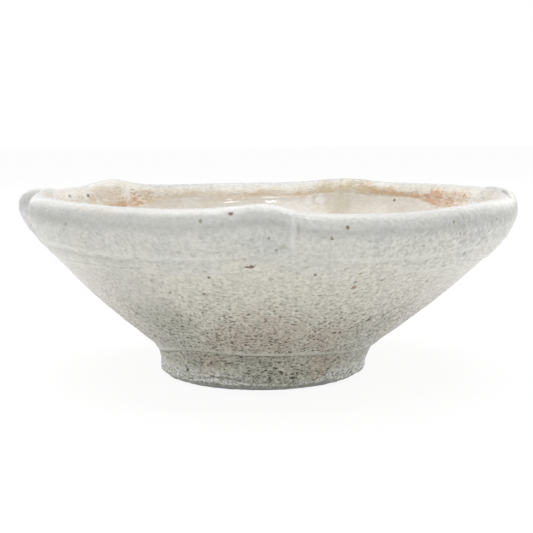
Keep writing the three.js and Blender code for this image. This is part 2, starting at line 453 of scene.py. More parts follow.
def skin_thickness(lengths):
    """Thickness of the glaze: rolled over in a bead at the foot, even up the wall, pooled on the
    floor."""
    from_edge = lengths - EDGES
    rolled = np.sqrt(np.clip(1 - (1 - np.clip(from_edge / ROLL, 0, 1)) ** 2, 0, 1))
    swell = BEAD + BEAD_UNEVEN * noise_around(ANGLES, 6, SEED + 9)
    at_side = 0.25 * hump(np.cos(ANGLES), 1, 0.06)[:, None]
    bead = (swell + at_side) * hump(from_edge, 1.3, 1.2) * rolled
    radius = np.interp(lengths, LENGTHS, CLAY[:, 0])
    pool = smoothstep(POOL_RADIUS - radius, 0, POOL_RADIUS) * (lengths > TO_LINE)
    lapped = 0.1 * hump(lengths - LINES, 0.9, 0.8)
    return (GLAZE + (POOL - GLAZE) * pool) * rolled + bead + lapped


def turned_marks(points, angles):
    """Rings that fingers left on the wheel, in a slow spiral."""
    turn = angles[:, None] / (2 * math.pi)
    uneven = 1.5 * noise(points, 23, SEED + 10)
    spiral = np.sin(2 * math.pi * (points[..., 2] / TURNED_PITCH + turn) + uneven)
    return spiral * (0.6 + 0.4 * noise(points, 12, SEED + 11))


def ridges(lengths, angles):
    """How far glaze fills the CAD's ledge, and the ridges themselves: the ledge at the foot of the
    band, which dies away at the front pinch, the heel's edge and the shallow groove under the
    lip."""
    front = (angles - STARTS[0] + math.pi) % (2 * math.pi) - math.pi
    gone = hump(front * RIM_RADIUS, 4, 13)[:, None]
    wavy = 0.75 + 0.25 * noise_around(angles, 12, SEED + 12)
    filled = BAND_PROUD * 0.8 * hump(lengths, TO_BAND - 1.3, 1.1)
    ledge = lengths - TO_BAND - along_path(LEDGE_PATH, angles)
    band = LEDGE_RIDGE * hump(ledge, 0.9, 0.85) - LEDGE_GROOVE * hump(ledge, -0.7, 1.0)
    edge = lengths - TO_HEEL - along_path(HEEL_PATH, angles)
    heel = HEEL_RIDGE * hump(edge, 1.5, 1.1) - HEEL_GROOVE * hump(edge, 0, 0.5)
    under_lip = UNDER_LIP_GROOVE * hump(lengths, TO_CREST - 4.9, 1.1)
    return filled, wavy * ((1 - gone) * band + heel - under_lip)


def folds(lengths, columns):
    """A soft ridge down the wall beside each pinch, with a crease behind it."""
    on_wall = smoothstep(lengths, TO_BAND + 2, TO_BAND + 8) * smoothstep(TO_CREST - lengths, 1, 4)
    away = np.abs(columns["past"]) - np.abs(columns["fold_at"])
    beside = np.sign(columns["past"]) == np.sign(columns["fold_at"])
    ridge = hump(away, 0, 0.8) - 0.6 * hump(away, 1.0, 0.45)
    return columns["fold_height"] * ridge * beside * on_wall


# Marks in the glaze, as (x, y, z) of the middle, radius and height; a pit is below zero
MARKS = (
    (-23.1, -23.9, 3.7, 0.65, -0.5),
    (-23.2, -23.6, 4.6, 0.45, -0.35),
    (-22, -25, 3.9, 0.9, 0.22),
    (-6.4, -31.7, 3.6, 0.6, 0.25),
    (-4.6, -31.9, 3.6, 0.6, 0.25),
    (-5.5, -31.8, 4.4, 0.7, 0.22),
    (-5.5, -31.8, 3.5, 0.4, -0.25),
)

# Fine creases: the places (x, y, z) that each runs through, its half-width, and the depth of each
# stretch of it
CREASES = (
    (((-10, -71.6, 47), (-8.9, -70.4, 42)), 0.5, (0.22,)),
    # At the rim's right end this crease is carved and painted dark, as painted shade where the near
    # petal stands in front of the one behind.
    (((66, -22, 56.2), (66.6, -25.2, 55.2), (66.9, -28.6, 54.2)), 0.4, (0.5, 0.45)),
    ((
        (-21.7, -24.7, 3.4), (-17.9, -27.5, 3.2), (-15.6, -28.8, 3.9), (-11.3, -30.3, 3.8),
        (-8.4, -31.2, 3.2), (-5.1, -31.7, 2.7),
    ), 0.3, (0.3, 0.34, 0.34, 0.34, 0.3)),
    ((
        (-1.7, -31.9, 2.9), (2.4, -31.8, 2.5), (8.9, -30.5, 2.6), (14, -28.5, 3.1),
    ), 0.28, (0.28, 0.28, 0.26)),
)


def creased(points):
    """Depth of the creases at each place, below zero."""
    relief = np.zeros(points.shape[:-1])
    for places, width, depths in CREASES:
        places = np.array(places)
        for start, along, depth in zip(places, np.diff(places, axis=0), depths):
            away = points - start
            share = np.clip(away @ along / (along @ along), 0, 1)
            distance = np.linalg.norm(away - share[..., None] * along, axis=-1)
            relief -= depth * hump(distance, 0, width)
    return relief


def crawled(points, from_edge):
    """Small wrinkles where the glaze drew back from the foot, and single pits and chips."""
    near = hump(from_edge, 2.4, 1.7)
    wrinkle = 1 - np.abs(noise(points * np.array([1, 1, 1.8]), 1.7, SEED + 13)) * 2.2
    relief = WRINKLE * near * wrinkle
    for x, y, z, radius, height in MARKS:
        distance = np.linalg.norm(points - np.array([x, y, z]), axis=2)
        relief = relief + height * hump(distance, 0, radius)
    return relief


def glazed_skin():
    """The whole skin of both glazes, with the length along the clay of each of its points, and the
    height there of ridges and creases."""
    lengths = wandering_lengths()
    points = clay_at(lengths, ANGLES, skin_thickness(lengths))
    stretched = points * np.array([1, 1, 1.7])
    from_edge = lengths - EDGES
    inside = smoothstep(lengths, TO_LINE, TO_LINE + 2)
    relief = turned_marks(points, ANGLES) * (TURNED - 0.02 * inside)
    ripple = noise(stretched, 3.4, SEED + 3) + 0.5 * noise(stretched, 1.5, SEED + 4)
    relief = relief + ripple * (RIPPLE - 0.02 * inside)
    filled, tooled = ridges(lengths, ANGLES)
    tooled = tooled + folds(lengths, columns_at(ANGLES)) + creased(points)
    relief = relief + filled + tooled + crawled(points, from_edge)
    relief = relief * smoothstep(from_edge, 0, 0.6)
    return points + grid_normals(points) * relief[..., None], lengths, tooled


# Meshes


def linked(name, data):
    """A new object in the scene."""
    made = bpy.data.objects.new(name, data)
    bpy.context.scene.collection.objects.link(made)
    return made


def mesh_object(name, parts, closed, masks=None, sharp=()):
    """A surface of columns of points round the pot, whose rows go on from part to part. Closed
    means that the last row joins the first; otherwise both end rows lie on the axis, and each
    becomes one point. masks are values for the points, by name, and sharp are the rows where it
    turns sharply."""
    masks = masks or {}
    rings = np.dstack([np.concatenate(parts, axis=1), *masks.values()]).transpose(1, 0, 2)
    columns = rings.shape[1]
    body = rings if closed else rings[1:-1]
    count = len(body)
    points = body.reshape(-1, rings.shape[2])
    column = np.arange(columns)
    beside = (column + 1) % columns
    faces = []
    for row in range(count if closed else count - 1):
        low, high = row * columns, ((row + 1) % count) * columns
        faces.append(np.stack([low + column, low + beside, high + beside, high + column], axis=1))
    faces = np.concatenate(faces).tolist()
    if not closed:
        first, last = len(points), len(points) + 1
        top = (count - 1) * columns
        points = np.concatenate([points, rings[[0, -1]].mean(axis=1)])
        faces += [[first, int(b), int(a)] for a, b in zip(column, beside)]
        faces += [[last, int(top + a), int(top + b)] for a, b in zip(column, beside)]
    mesh = bpy.data.meshes.new(name)
    mesh.from_pydata((points[:, :3] * MM).tolist(), [], faces)
    mesh.polygons.foreach_set("use_smooth", [True] * len(mesh.polygons))
    for key, values in zip(masks, points[:, 3:].T):
        attribute = mesh.attributes.new(key, "FLOAT", "POINT")
        attribute.data.foreach_set("value", np.ascontiguousarray(values, dtype=np.float32))
    sharpen(mesh, columns, [row if closed else row - 1 for row in sharp])
    mesh.update()
    return linked(name, mesh)


def sharpen(mesh, columns, rows):
    """Marks the edges along those rows of points as sharp."""
    ends = np.empty(len(mesh.edges) * 2, dtype=np.int32)
    mesh.edges.foreach_get("vertices", ends)
    row_of = ends.reshape(-1, 2) // columns
    along = (row_of[:, 0] == row_of[:, 1]) & np.isin(row_of[:, 0], rows)
    mesh.attributes.new("sharp_edge", "BOOLEAN", "EDGE").data.foreach_set("value", along)


SKIN, SKIN_LENGTHS, SKIN_TOOLED = glazed_skin()


def glaze_piece(name, part, length, outside):
    """The rows of the skin in that part, with a face against the clay behind them. Its masks are
    distances along the surface, in millimetres, past the line between the glazes and, outside,
    past the crest and from the edge at the foot, and the height of ridges and creases."""
    lengths = SKIN_LENGTHS[:, part]
    back = np.linspace(1, 0, int(length / HIDDEN_STEP))
    hidden_lengths = lengths[:, :1] + (lengths[:, -1:] - lengths[:, :1]) * back
    faces = [(SKIN[:, part], lengths), (clay_at(hidden_lengths, ANGLES, 0), hidden_lengths)]
    if not outside:
        faces.reverse()
    parts, lengths = zip(*faces)
    lengths = np.concatenate(lengths, axis=1)
    masks = {"past_line": lengths - LINES}
    if outside:
        masks["past_crest"] = lengths - TO_CREST
        masks["from_edge"] = lengths - EDGES
        masks["tooled"] = np.zeros(lengths.shape)
        masks["tooled"][:, part] = SKIN_TOOLED[:, part]
    turn = parts[0].shape[1]
    return mesh_object(name, parts, outside, masks, (turn - 1, turn))


def outer_glaze():
    return glaze_piece("outer_glaze_skin", slice(LINE_ROW + 1), TO_LINE - GLAZE_EDGE, True)


def inner_glaze():
    return glaze_piece("inner_glaze_skin", slice(LINE_ROW, None), TO_MIDDLE - TO_LINE, False)


def underside():
    """Outline of the recess inside the foot ring, from the middle out to the ring."""
    height = FOOT_HEIGHT - NAVEL_HEIGHT
    places = np.array([(0, height), (NAVEL_RADIUS / 2, height), (NAVEL_RADIUS, FOOT_HEIGHT)])
    return resampled(np.concatenate([curve(*places, 12), [[RING_TOP, FOOT_HEIGHT]]]), ROW_STEP)


def clay_body():
    angles = angles_round(COLUMNS // 2)
    recess = underside()
    under = placed(recess[None, :, 0], recess[None, :, 1], angles)
    depth = 0.12
    turned = np.sin(2 * math.pi * recess[:, 0] / 2.3) * smoothstep(RING_TOP - recess[:, 0], 0, 2)
    under[..., 2] -= depth * turned + GRIT * noise(under, 1.6, SEED + 14) + depth
    rows = np.arange(TO_JOINT, TO_MIDDLE, HIDDEN_STEP)
    lengths = np.ones((len(angles), 1)) * np.append(rows, TO_MIDDLE)
    covered = clay_at(lengths, angles, -0.02)
    return mesh_object("clay_body_fine", (under, covered), False)


def foot_ring():
    inner_bottom = FOOT_RADIUS - FOOT_WIDTH
    line = np.array([
        foot_side_at(FOOT_HEIGHT),
        [RING_TOP, FOOT_HEIGHT],
        [inner_bottom, FOOT_BEVEL],
        [inner_bottom + FOOT_BEVEL, 0],
        [FOOT_RADIUS - FOOT_BEVEL, 0],
        foot_side_at(FOOT_BEVEL),
        foot_side_at(FOOT_HEIGHT),
    ])
    step, lap = 0.3, 12
    line = resampled(line, step)[:-1]
    loop = np.concatenate([line[-lap:], line, line[:lap]])
    line = softened(loop, 0.45, step)[lap:-lap]
    line[:, 1] -= line[:, 1].min()
    points = placed(line[None, :, 0], line[None, :, 1], ANGLES)
    rough = noise(points, 1.1, SEED + 15) + 0.6 * noise(points, 4, SEED + 16)
    bare = smoothstep(GLAZE_EDGE + 0.6 - line[:, 1], 0, 0.8) + (line[:, 0] < inner_bottom + 1.5)
    worn = GRIT * (rough - 1.2) * np.clip(bare, 0, 1)
    points = points + grid_normals(points) * worn[..., None]
    points[..., 2] = np.maximum(points[..., 2], 0)
    return mesh_object("foot_ring_fine", (points,), True)


# Materials


def linear(red, green, blue):
    """A colour from 0 to 255 as the eye sees it, in linear light."""
    levels = np.array([red, green, blue]) / 255
    low = levels / 12.92
    high = ((levels + 0.055) / 1.055) ** 2.4
    return (*np.where(levels <= 0.04045, low, high).tolist(), 1)


class Nodes:
    """The nodes of a material or a world, with none at first."""

    def __init__(self, owner):
        owner.use_nodes = True
        self.owner = owner
        self.tree = owner.node_tree
        self.tree.nodes.clear()

    def add(self, kind, values=None, **settings):
        node = self.tree.nodes.new("ShaderNode" + kind)
        for key, value in settings.items():
            setattr(node, key, value)
        for socket, value in (values or {}).items():
            if isinstance(value, bpy.types.NodeSocket):
                self.tree.links.new(value, node.inputs[socket])
            else:
                node.inputs[socket].default_value = value
        return node

    def math(self, operation, first, second=0, third=0):
        return self.add("Math", {0: first, 1: second, 2: third}, operation=operation).outputs[0]


class Graph(Nodes):
    """The nodes of one of the bowl's materials. Places in it are in millimetres."""

    def __init__(self, name):
        super().__init__(bpy.data.materials.new(name))
        place = self.add("TexCoord").outputs["Object"]
        self.place = self.vector("SCALE", place, scale=1 / MM)
        wobble = self.add("TexNoise", {"Vector": self.place, "Scale": 1 / 1.4, "Detail": 1})
        wobble = wobble.outputs["Color"]
        self.warped = self.vector("MULTIPLY_ADD", wobble, (1.4, 1.4, 1.4), self.place)
        split = self.add("SeparateXYZ", {"Vector": self.place})
        self.across, self.depth, self.height = (split.outputs[axis] for axis in "XYZ")

    def product(self, first, *others):
        for other in others:
            first = self.math("MULTIPLY", first, other)
        return first

    def vector(self, operation, first, second=None, third=None, scale=None):
        sockets = {0: first, 1: second, 2: third, "Scale": scale}
        values = {socket: value for socket, value in sockets.items() if value is not None}
        return self.add("VectorMath", values, operation=operation).outputs[0]

    def ramp(self, value, low, high, start=0, end=1, smooth=True):
        kind = "SMOOTHSTEP" if smooth else "LINEAR"
        values = {"Value": value, "From Min": low, "From Max": high, "To Min": start, "To Max": end}
        return self.add("MapRange", values, interpolation_type=kind).outputs["Result"]

    def mix(self, share, first, second, kind="MIX"):
        node = self.add("Mix", {0: share, 6: first, 7: second}, data_type="RGBA", blend_type=kind)
        return node.outputs[2]

    def tint(self, colour, share, tone):
        """The colour with a share of a tone, from 0 to 255, over it."""
        return self.mix(share, colour, linear(*tone))

    def attribute(self, name):
        return self.add("Attribute", attribute_name=name).outputs["Fac"]

    def moved(self, place, stretch, seed):
        return self.vector("MULTIPLY_ADD", place, (1, 1, stretch), (seed, seed * 1.7, seed * 2.3))

    def cloud(self, cell, detail=3, stretch=1, seed=0):
        """Noise from 0 to 1 with lumps about a cell across, flatter than wide where stretched."""
        vector = self.moved(self.place, stretch, seed)
        values = {"Vector": vector, "Scale": 1 / cell, "Detail": detail}
        return self.add("TexNoise", values).outputs["Fac"]

    def waver(self, *cloud):
        """The same noise between -1 and 1."""
        return self.ramp(self.cloud(*cloud), 0.3, 0.7, -1, 1)

    def specks(self, cell, radius, share, soft, stretch=1, seed=0):
        """1 inside specks of up to that radius, one in a share of the cells of that size."""
        values = {"Vector": self.moved(self.warped, stretch, seed), "Scale": 1 / cell}
        cells = self.add("TexVoronoi", values)
        chance = self.add("SeparateColor", {"Color": cells.outputs["Color"]}).outputs["Red"]
        chosen = self.math("GREATER_THAN", chance, 1 - share)
        size = self.ramp(chance, 1 - share, 1, 0.5 * radius / cell, radius / cell, smooth=False)
        inside = self.math("SUBTRACT", size, cells.outputs["Distance"])
        return self.product(self.ramp(inside, 0, soft / cell), chosen)

    def cracks(self, cell, width, seed):
        """1 along thin lines between cells of that size."""
        values = {"Vector": self.moved(self.warped, 1, seed), "Scale": 1 / cell}
        edges = self.add("TexVoronoi", values, feature="DISTANCE_TO_EDGE")
        return self.ramp(edges.outputs["Distance"], width / cell, 0)

    def spot(self, middle, radius, soft, waver, ragged):
        """1 within a radius of a place. Its edge is as ragged as waver, from -1 to 1, makes it."""
        away = self.add("VectorMath", {0: self.place, 1: middle}, operation="DISTANCE")
        away = self.math("MULTIPLY_ADD", waver, ragged, away.outputs["Value"])
        return self.ramp(away, radius + soft, radius - soft)

    def colours(self, value, stops):
        """A colour for each value, from stops of (value, colour) in rising order."""
        low, high = stops[0][0], stops[-1][0]
        node = self.add("ValToRGB", {"Fac": self.ramp(value, low, high, smooth=False)})
        elements = node.color_ramp.elements
        while len(elements) < len(stops):
            elements.new(0.5)
        for element, (at, colour) in zip(elements, stops):
            element.position = (at - low) / (high - low)
            element.color = linear(*colour)
        return node.outputs["Color"]

    def bump(self, height, distance, strength=1):
        values = {"Height": height, "Distance": distance * MM, "Strength": strength}
        return self.add("Bump", values).outputs["Normal"]

    def finish(self, **values):
        shader = self.add("BsdfPrincipled", {k.replace("_", " "): v for k, v in values.items()})
        self.add("OutputMaterial", {"Surface": shader.outputs[0]})
        return self.owner


# Iron spots that stand out, as the (x, y, z) of each, its radius and its colour
BROWN = (118, 98, 74)
RUST = (112, 84, 58)
OCHRE = (160, 132, 74)
OLIVE = (140, 138, 112)
DARK = (76, 72, 64)
GREY = (146, 145, 136)
SPOTS = (
    (-8.6, -72.7, 53.2, 0.55, RUST),
    (-4, -68.1, 40, 0.7, RUST),
    (-4.9, -68, 39.9, 0.45, RUST),
    (-14.4, -63.7, 36.9, 0.45, DARK),
    (-15.9, -58.4, 32, 0.5, BROWN),
    (18.8, -72.8, 49.8, 0.48, BROWN),
    (15.1, -73.6, 47.3, 0.4, OLIVE),
    (21.5, -59.6, 33.6, 0.65, (136, 102, 48)),
    (11.5, -66.8, 37.8, 0.45, BROWN),
    (26.7, -43.1, 22.5, 0.7, DARK),
    (-35.7, -36.8, 23.6, 0.6, DARK),
    (-64, 22.8, 52.2, 0.6, BROWN),
    (-59.5, 30.9, 51.9, 0.6, BROWN),
    (44.7, 48.9, 48.6, 0.5, BROWN),
    (-5.4, -69.8, 42.1, 0.3, OCHRE),
    (2.1, -70.8, 44.3, 0.35, OLIVE),
    (0.2, -71.3, 47.2, 0.35, OLIVE),
    (46, -60.1, 50, 0.4, OLIVE),
    (48.1, -58.7, 46.6, 0.4, OLIVE),
    (-15.8, -72.6, 51.5, 0.45, OLIVE),
    (-50.8, -55.3, 49.5, 0.4, OLIVE),
    (36.4, -48.5, 31.3, 0.38, BROWN),
    (50.6, -51.1, 41, 0.38, DARK),
    (28.5, -58.7, 35.3, 0.38, BROWN),
    (22.5, -64.3, 37.6, 0.45, OCHRE),
    (41.5, -47.3, 33.4, 0.36, BROWN),
    (-24.7, -55.2, 32, 0.38, BROWN),
    (-34, -58.6, 38.8, 0.36, OLIVE),
    (64, 22.9, 51.7, 0.7, (188, 140, 92)),
    (61.8, 28, 52, 0.5, (196, 150, 106)),
    (59.7, -46.6, 49.5, 0.35, GREY),
    (61, -44.6, 48.7, 0.35, GREY),
    (69, -14.3, 46.9, 0.4, GREY),
    (71, -12.2, 47.4, 0.4, GREY),
    (-63.7, -36.5, 48.6, 0.45, DARK),
    (-63.1, -35.4, 46.7, 0.5, OLIVE),
    (-23, -23.5, 4.9, 0.6, DARK),
)

# Specks in the outer glaze. For each kind: cell, radius, share, softness, stretch and seed; two
# heights and how strong they are at each; whether they thin out below the wall; and their colour.
# The first two kinds are pale, the others iron, crowded low down and few on the band.
SPECKS = (
    ((1.3, 0.6, 0.6, 0.25, 1, 47), (38, 12, 0.1, 0.6), False, (220, 217, 204)),
    ((1.9, 0.8, 0.7, 0.4, 1.2, 43), (42, 14, 0.5, 0.65), False, (168, 165, 142)),
    ((1.3, 0.64, 0.75, 0.12, 2, 1), (40, 14, 0.06, 1), True, (76, 58, 30)),
    ((1, 0.46, 0.6, 0.12, 1.6, 5), (32, 10, 0, 0.9), True, (66, 56, 34)),
    ((3, 0.72, 0.55, 0.16, 1.7, 7), (46, 14, 0.15, 1), False, (60, 48, 32)),
    ((1.5, 0.74, 0.7, 0.12, 3.2, 9), (12.5, 9, 0, 1), False, (62, 54, 36)),
    ((7.5, 0.6, 0.6, 0.2, 1.3, 13), (46, 14, 0.55, 0.55), False, (120, 110, 88)),
)

# Broad patches of colour in the outer glaze, one of them painted shade: middle, radius, colour and
# how strong
PINK = (188, 172, 156)
GREEN = (172, 175, 158)
PATCHES = (
    (0.5, -46, 19, 10, PINK, 0.6),
    (-12, -43, 17, 6, PINK, 0.5),
    (17, -42, 18, 7, PINK, 0.6),
    (-16.5, -30, 8.6, 5, PINK, 0.6),
    (16.5, -29.5, 8.2, 5.5, PINK, 0.6),
    (-27.5, -40, 21.5, 9, GREEN, 0.6),
    (-28.5, -43.5, 24.5, 8, (176, 177, 162), 0.5),
    (-36.7, -50.7, 34.2, 10, (194, 193, 183), 0.6),
    (29.5, -36.5, 20, 8, GREEN, 0.4),
    (-2, -33, 8, 5.5, GREEN, 0.5),
    (-25, -30, 13, 6, GREEN, 0.4),
    (25, -29, 12.5, 6, GREEN, 0.4),
    (-70, -13, 51, 7, (230, 227, 230), 0.9),
    # Painted shade: grey in the groove of the front pinch.
    (-1, -72, 48.5, 5, (194, 196, 192), 0.45),
    (-44.5, -59.4, 54.4, 2, (232, 212, 190), 0.45),
    (-40.9, -61.7, 54, 2, (232, 214, 194), 0.45),
    (-37.7, -64.1, 53.4, 1.8, (232, 218, 200), 0.35),
)

# Patches in the inner glaze, in the same way; the last two are painted highlights
INNER_PATCHES = (
    (25.5, 55.8, 46.6, 3.6, (204, 198, 174), 0.55),
    (9, 62, 45.5, 7, (222, 218, 212), 0.5),
    (40, 50, 46, 7, (218, 211, 202), 0.5),
    # Painted highlights: two small white patches on the far inner wall.
    (19.5, 62, 48.4, 1.8, (238, 236, 233), 0.7),
    (15.5, 63.5, 48.6, 1.4, (238, 236, 233), 0.5),
)

# Scorched patches inside the rim, in the same way
SCORCHES = (
    (-46.2, 44.7, 49.6, 3, (186, 144, 98), 0.95),
    (-44.6, 46.2, 48.4, 3, (184, 142, 98), 0.95),
    (-46.4, 42.7, 48.5, 2.4, (184, 148, 106), 0.95),
    (-47.4, 38.4, 48.8, 3.2, (188, 150, 106), 0.95),
    (-50.5, 35.9, 48.7, 2.2, (202, 168, 130), 0.65),
    (-54.3, 34.6, 49.2, 2, (210, 182, 146), 0.45),
    (-58, 32.1, 49.8, 1.9, (208, 174, 134), 0.6),
    (-44.5, 48.8, 51.6, 1.6, (204, 176, 142), 0.45),
    (-42, 51.1, 50.4, 2.2, (194, 162, 126), 0.7),
    (-52, 38, 51.3, 5, (216, 200, 176), 0.5),
    (-65, 20, 52, 5, (216, 204, 184), 0.45),
    (43.1, 51, 51.2, 2.4, (200, 166, 128), 0.55),
    (47.1, 47.5, 50.6, 2.2, (202, 168, 130), 0.5),
    (51, 43.6, 50.2, 2, (204, 170, 134), 0.5),
    (54.6, 38.6, 49.3, 2.4, (194, 150, 112), 0.85),
    (57.4, 34, 48.8, 3, (190, 146, 106), 0.95),
    (60.5, 28.9, 48.9, 3.2, (190, 148, 110), 0.95),
    (56, 38.3, 52.2, 1.5, (204, 158, 116), 0.9),
    (57.2, 36.6, 52.3, 1.6, (202, 156, 114), 0.95),
    (58.6, 34.3, 52.2, 1.4, (206, 166, 126), 0.85),
    (60.2, 31.6, 51.8, 1.1, (206, 168, 130), 0.7),
    (61.5, 29, 51.6, 0.9, (206, 166, 128), 0.6),
    (63.6, 24.5, 51, 2.6, (204, 168, 134), 0.7),
    (64, 22.5, 51.4, 4.2, (212, 190, 160), 0.6),
    (35.2, 56.1, 52.4, 3.6, (196, 174, 134), 0.7),
    (28.5, 56.5, 52.4, 4.4, (204, 194, 158), 0.65),
    (21, 62.6, 51.8, 4, (204, 190, 152), 0.6),
    (6, -66, 50, 6, (206, 182, 152), 0.45),
    (-58, -30, 50.5, 7, (206, 180, 150), 0.45),
)

# Where the line between the glazes is burnt brown: middle and radius
BURNT_LINE = (
    (40.2, 53.2, 51.6, 3.5),
    (45.4, 48.9, 50.7, 4.5),
    (51, 43.5, 49.9, 5),
    (56, 36.5, 48.7, 5),
    (-47, 40, 48.6, 4.5),
    (-53.5, 35, 48.8, 4.5),
)


def with_patches(g, colour, patches, waver):
    for *middle, radius, tone, strength in patches:
        inside = g.spot(middle, radius, radius * 0.45, waver, radius * 0.45)
        colour = g.tint(colour, g.product(inside, strength), tone)
    return colour


def with_spots(g, colour):
    waver = g.waver(0.7, 2, 1, 81)
    for *middle, radius, tone in SPOTS:
        colour = g.tint(colour, g.spot(middle, radius, 0.28, waver, 0.16), tone)
    return colour


def with_scorch(g, colour):
    """The rim inside, burnt along the line where the glazes meet and in patches. It is the same on
    both glazes."""
    past = g.attribute("past_line")
    wavy = g.math("ADD", past, g.ramp(g.cloud(4, 3, 1, 31), 0.3, 0.7, -0.6, 0.6))
    wash = g.product(g.ramp(wavy, -2, -0.4), g.ramp(wavy, 1.4, 0))
    uneven = g.ramp(g.cloud(12, 2, 1, 37), 0.36, 0.62, 0.25, 0.75)
    warmer = g.ramp(g.cloud(15, 2, 1, 51), 0.42, 0.58)
    tone = g.mix(warmer, linear(204, 188, 154), linear(206, 180, 148))
    colour = g.mix(g.product(wash, uneven), colour, tone)
    waver = g.waver(2.8, 5, 2.8, 41)
    near = g.product(g.ramp(wavy, -9, -5), g.ramp(wavy, 1.4, -0.2))
    burnt = with_patches(g, colour, SCORCHES, waver)
    burnt = shaded(g, burnt, g.ramp(g.cloud(1.6, 3, 2.8, 48), 0.44, 0.6, 0.03, -0.14))
    broken = g.ramp(g.cloud(2.4, 4, 3.2, 45), 0.38, 0.52, 0.3, 1)
    colour = g.mix(g.product(near, broken), colour, burnt)
    thin = g.math("ADD", past, g.ramp(g.cloud(2.2, 2, 1, 35), 0.3, 0.7, -0.35, 0.35))
    along = 0
    for *middle, radius in BURNT_LINE:
        along = g.math("MAXIMUM", g.spot(middle, radius, radius * 0.5, waver, 0.6), along)
    line = g.product(g.ramp(thin, -1.3, -0.3), g.ramp(thin, 0.9, 0.3), along, 0.6)
    return g.tint(colour, line, (190, 148, 108))


def shaded(g, colour, amount):
    """The colour, lighter or darker by that share of itself."""
    level = g.math("ADD", amount, 1)
    grey = g.add("CombineColor", {"Red": level, "Green": level, "Blue": level}).outputs[0]
    return g.mix(1, colour, grey, "MULTIPLY")


def glazed_ground(g, height):
    """The outer glaze's colour: grey-white on the band, warmer and darker down to the foot, with
    painted shade on the lower wall at the sides and back.
    """
    colour = g.colours(height, (
        (0, (197, 199, 188)),
        (5, (192, 193, 178)),
        (11, (199, 196, 182)),
        (20, (206, 202, 189)),
        (30, (212, 208, 195)),
        (38, (219, 216, 204)),
        (43, (213, 212, 204)),
        (56, (212, 211, 205)),
    ))
    low = g.ramp(height, 34, 12)
    behind = g.ramp(g.depth, -26, -10)
    pink = g.product(g.ramp(g.cloud(7, 3, 1.3, 5), 0.4, 0.62), low, behind, 0.5)
    colour = g.tint(colour, pink, PINK)
    green = g.product(g.ramp(g.cloud(9, 3, 1.2, 15), 0.42, 0.64), low, behind, 0.45)
    colour = g.tint(colour, green, GREEN)
    colour = with_patches(g, colour, PATCHES, g.waver(3, 4, 1.3, 29))
    cool = g.product(g.ramp(g.cloud(7, 2, 1.6, 25), 0.42, 0.64), g.ramp(height, 34, 46), 0.35)
    colour = g.tint(colour, cool, (198, 201, 200))
    # Painted shade: the lower wall is made a little darker at the sides and back.
    low_wall_shade = g.product(g.ramp(height, 32, 22), g.ramp(height, 6, 12))
    return shaded(g, colour, g.product(g.ramp(g.depth, -20, -8), low_wall_shade, -0.06))


def with_grain(g, colour, height):
    """Fine mottling, strongest low down, and upright wrinkles at one end of the band."""
    clouds = g.ramp(g.cloud(2.6, 3, 1, 3), 0.34, 0.66, -1, 1)
    grain = g.ramp(g.cloud(1, 2, 1, 33), 0.32, 0.68, -1, 1)
    amount = g.product(grain, g.ramp(height, 42, 14, 0.1, 0.24), g.ramp(g.across, 12, 34, 1, 1.6))
    amount = g.math("MULTIPLY_ADD", clouds, 0.035, amount)
    upright = g.ramp(g.cloud(1.1, 2, 0.3, 57), 0.36, 0.64, -0.15, 0.15)
    waver = g.waver(5, 2, 1, 58)
    there = g.spot((57, -46, 46), 16, 6, waver, 5)
    return shaded(g, colour, g.math("MULTIPLY_ADD", upright, there, amount))


def with_specks(g, colour, height):
    wall = g.ramp(height, 8, 12.5, 0.25, 1)
    for size, levels, on_wall, tone in SPECKS:
        strength = g.product(g.ramp(height, *levels), wall if on_wall else 1)
        colour = g.tint(colour, g.product(g.specks(*size), strength), tone)
    return colour


def with_relief_shading(g, colour):
    """Pale on ridges and darker in grooves: partly glaze that thins on ridges and gathers in
    grooves, partly painted highlight on the ridges and painted shade in the grooves.
    """
    tooled = g.attribute("tooled")
    pale = g.mix(g.ramp(g.height, 14, 34), linear(222, 222, 212), linear(234, 235, 229))
    # Painted highlight along the ridges, together with glaze that thins there.
    colour = g.mix(g.ramp(tooled, 0.03, 0.28, 0, 0.7), colour, pale)
    # Painted shade in the grooves and creases, together with glaze that gathers there.
    colour = g.tint(colour, g.ramp(tooled, -0.02, -0.3, 0, 0.7), (128, 125, 108))
    return colour


def with_foot_edge(g, colour):
    """The rolled edge at the foot: whitish and crazed towards both sides, with painted shade below
    it, under the bead.
    """
    from_edge = g.attribute("from_edge")
    sides = g.math("MAXIMUM", g.ramp(g.across, -3, -16), g.ramp(g.across, 12, 21))
    share = g.math("MULTIPLY_ADD", sides, 0.45, 0.55)
    mottled = g.ramp(g.cloud(1.5, 3, 2.2, 71), 0.4, 0.54, 0.1, 1)
    reach = g.math("MULTIPLY_ADD", sides, 3.5, 4)
    whitish = g.product(g.ramp(g.math("DIVIDE", from_edge, reach), 1, 0.35), mottled, share)
    colour = g.tint(colour, whitish, (242, 243, 240))
    crazed = g.product(g.cracks(1.9, 0.16, 73), g.ramp(from_edge, 5, 2.6), 0.8)
    colour = g.tint(colour, crazed, (110, 111, 97))
    # Painted shade: the dark rim under the rolled bead.
    return g.tint(colour, g.ramp(from_edge, 1.8, 0.8, 0, 0.7), (122, 124, 110))


